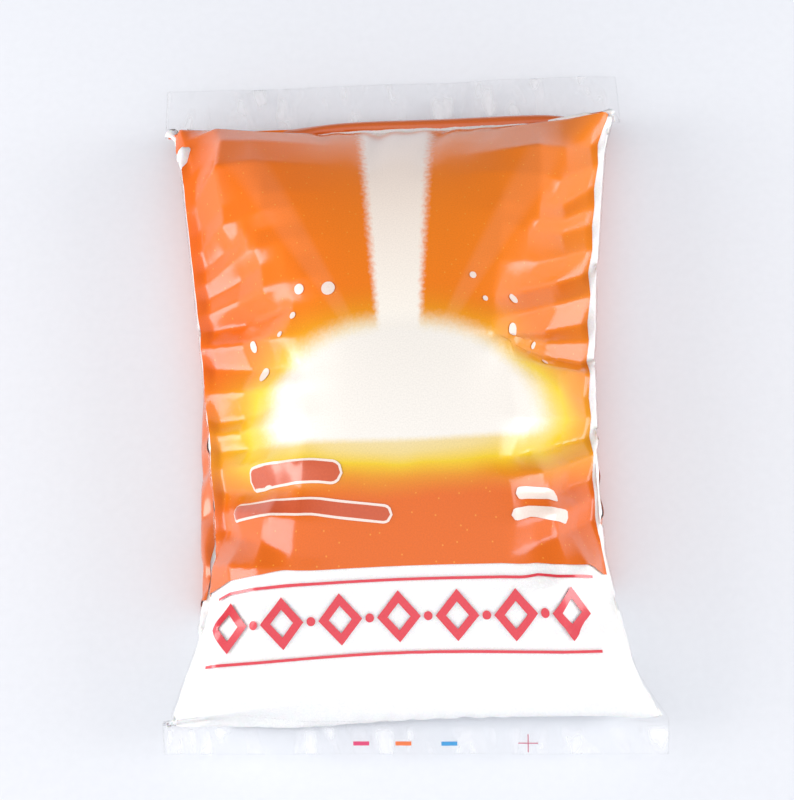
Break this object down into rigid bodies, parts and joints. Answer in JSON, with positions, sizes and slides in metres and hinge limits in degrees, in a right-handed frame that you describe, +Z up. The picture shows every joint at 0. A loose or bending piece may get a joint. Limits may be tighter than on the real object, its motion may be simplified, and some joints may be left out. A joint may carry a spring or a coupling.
{
  "type": "sugar packet",
  "caption": "Pillow-shaped film bag filled with granulated sugar, lying flat, with a flat heat-sealed fin at each end and creased sides.",
  "frame": {"origin": "on the surface the bag lies on, under the middle of its outline", "axes": "+Y along the bag towards its top seal, +X to the right as the printed face is read, +Z up out of the printed face"},
  "size_m": [0.225, 0.35, 0.0737],
  "materials": {
    "film": "clear blown polyethylene film, printed orange on the face, glossy, with white sugar showing through the clear parts"
  },
  "bodies": {
    "root": {"sugar_bag": "film"}
  },
  "joints": []
}
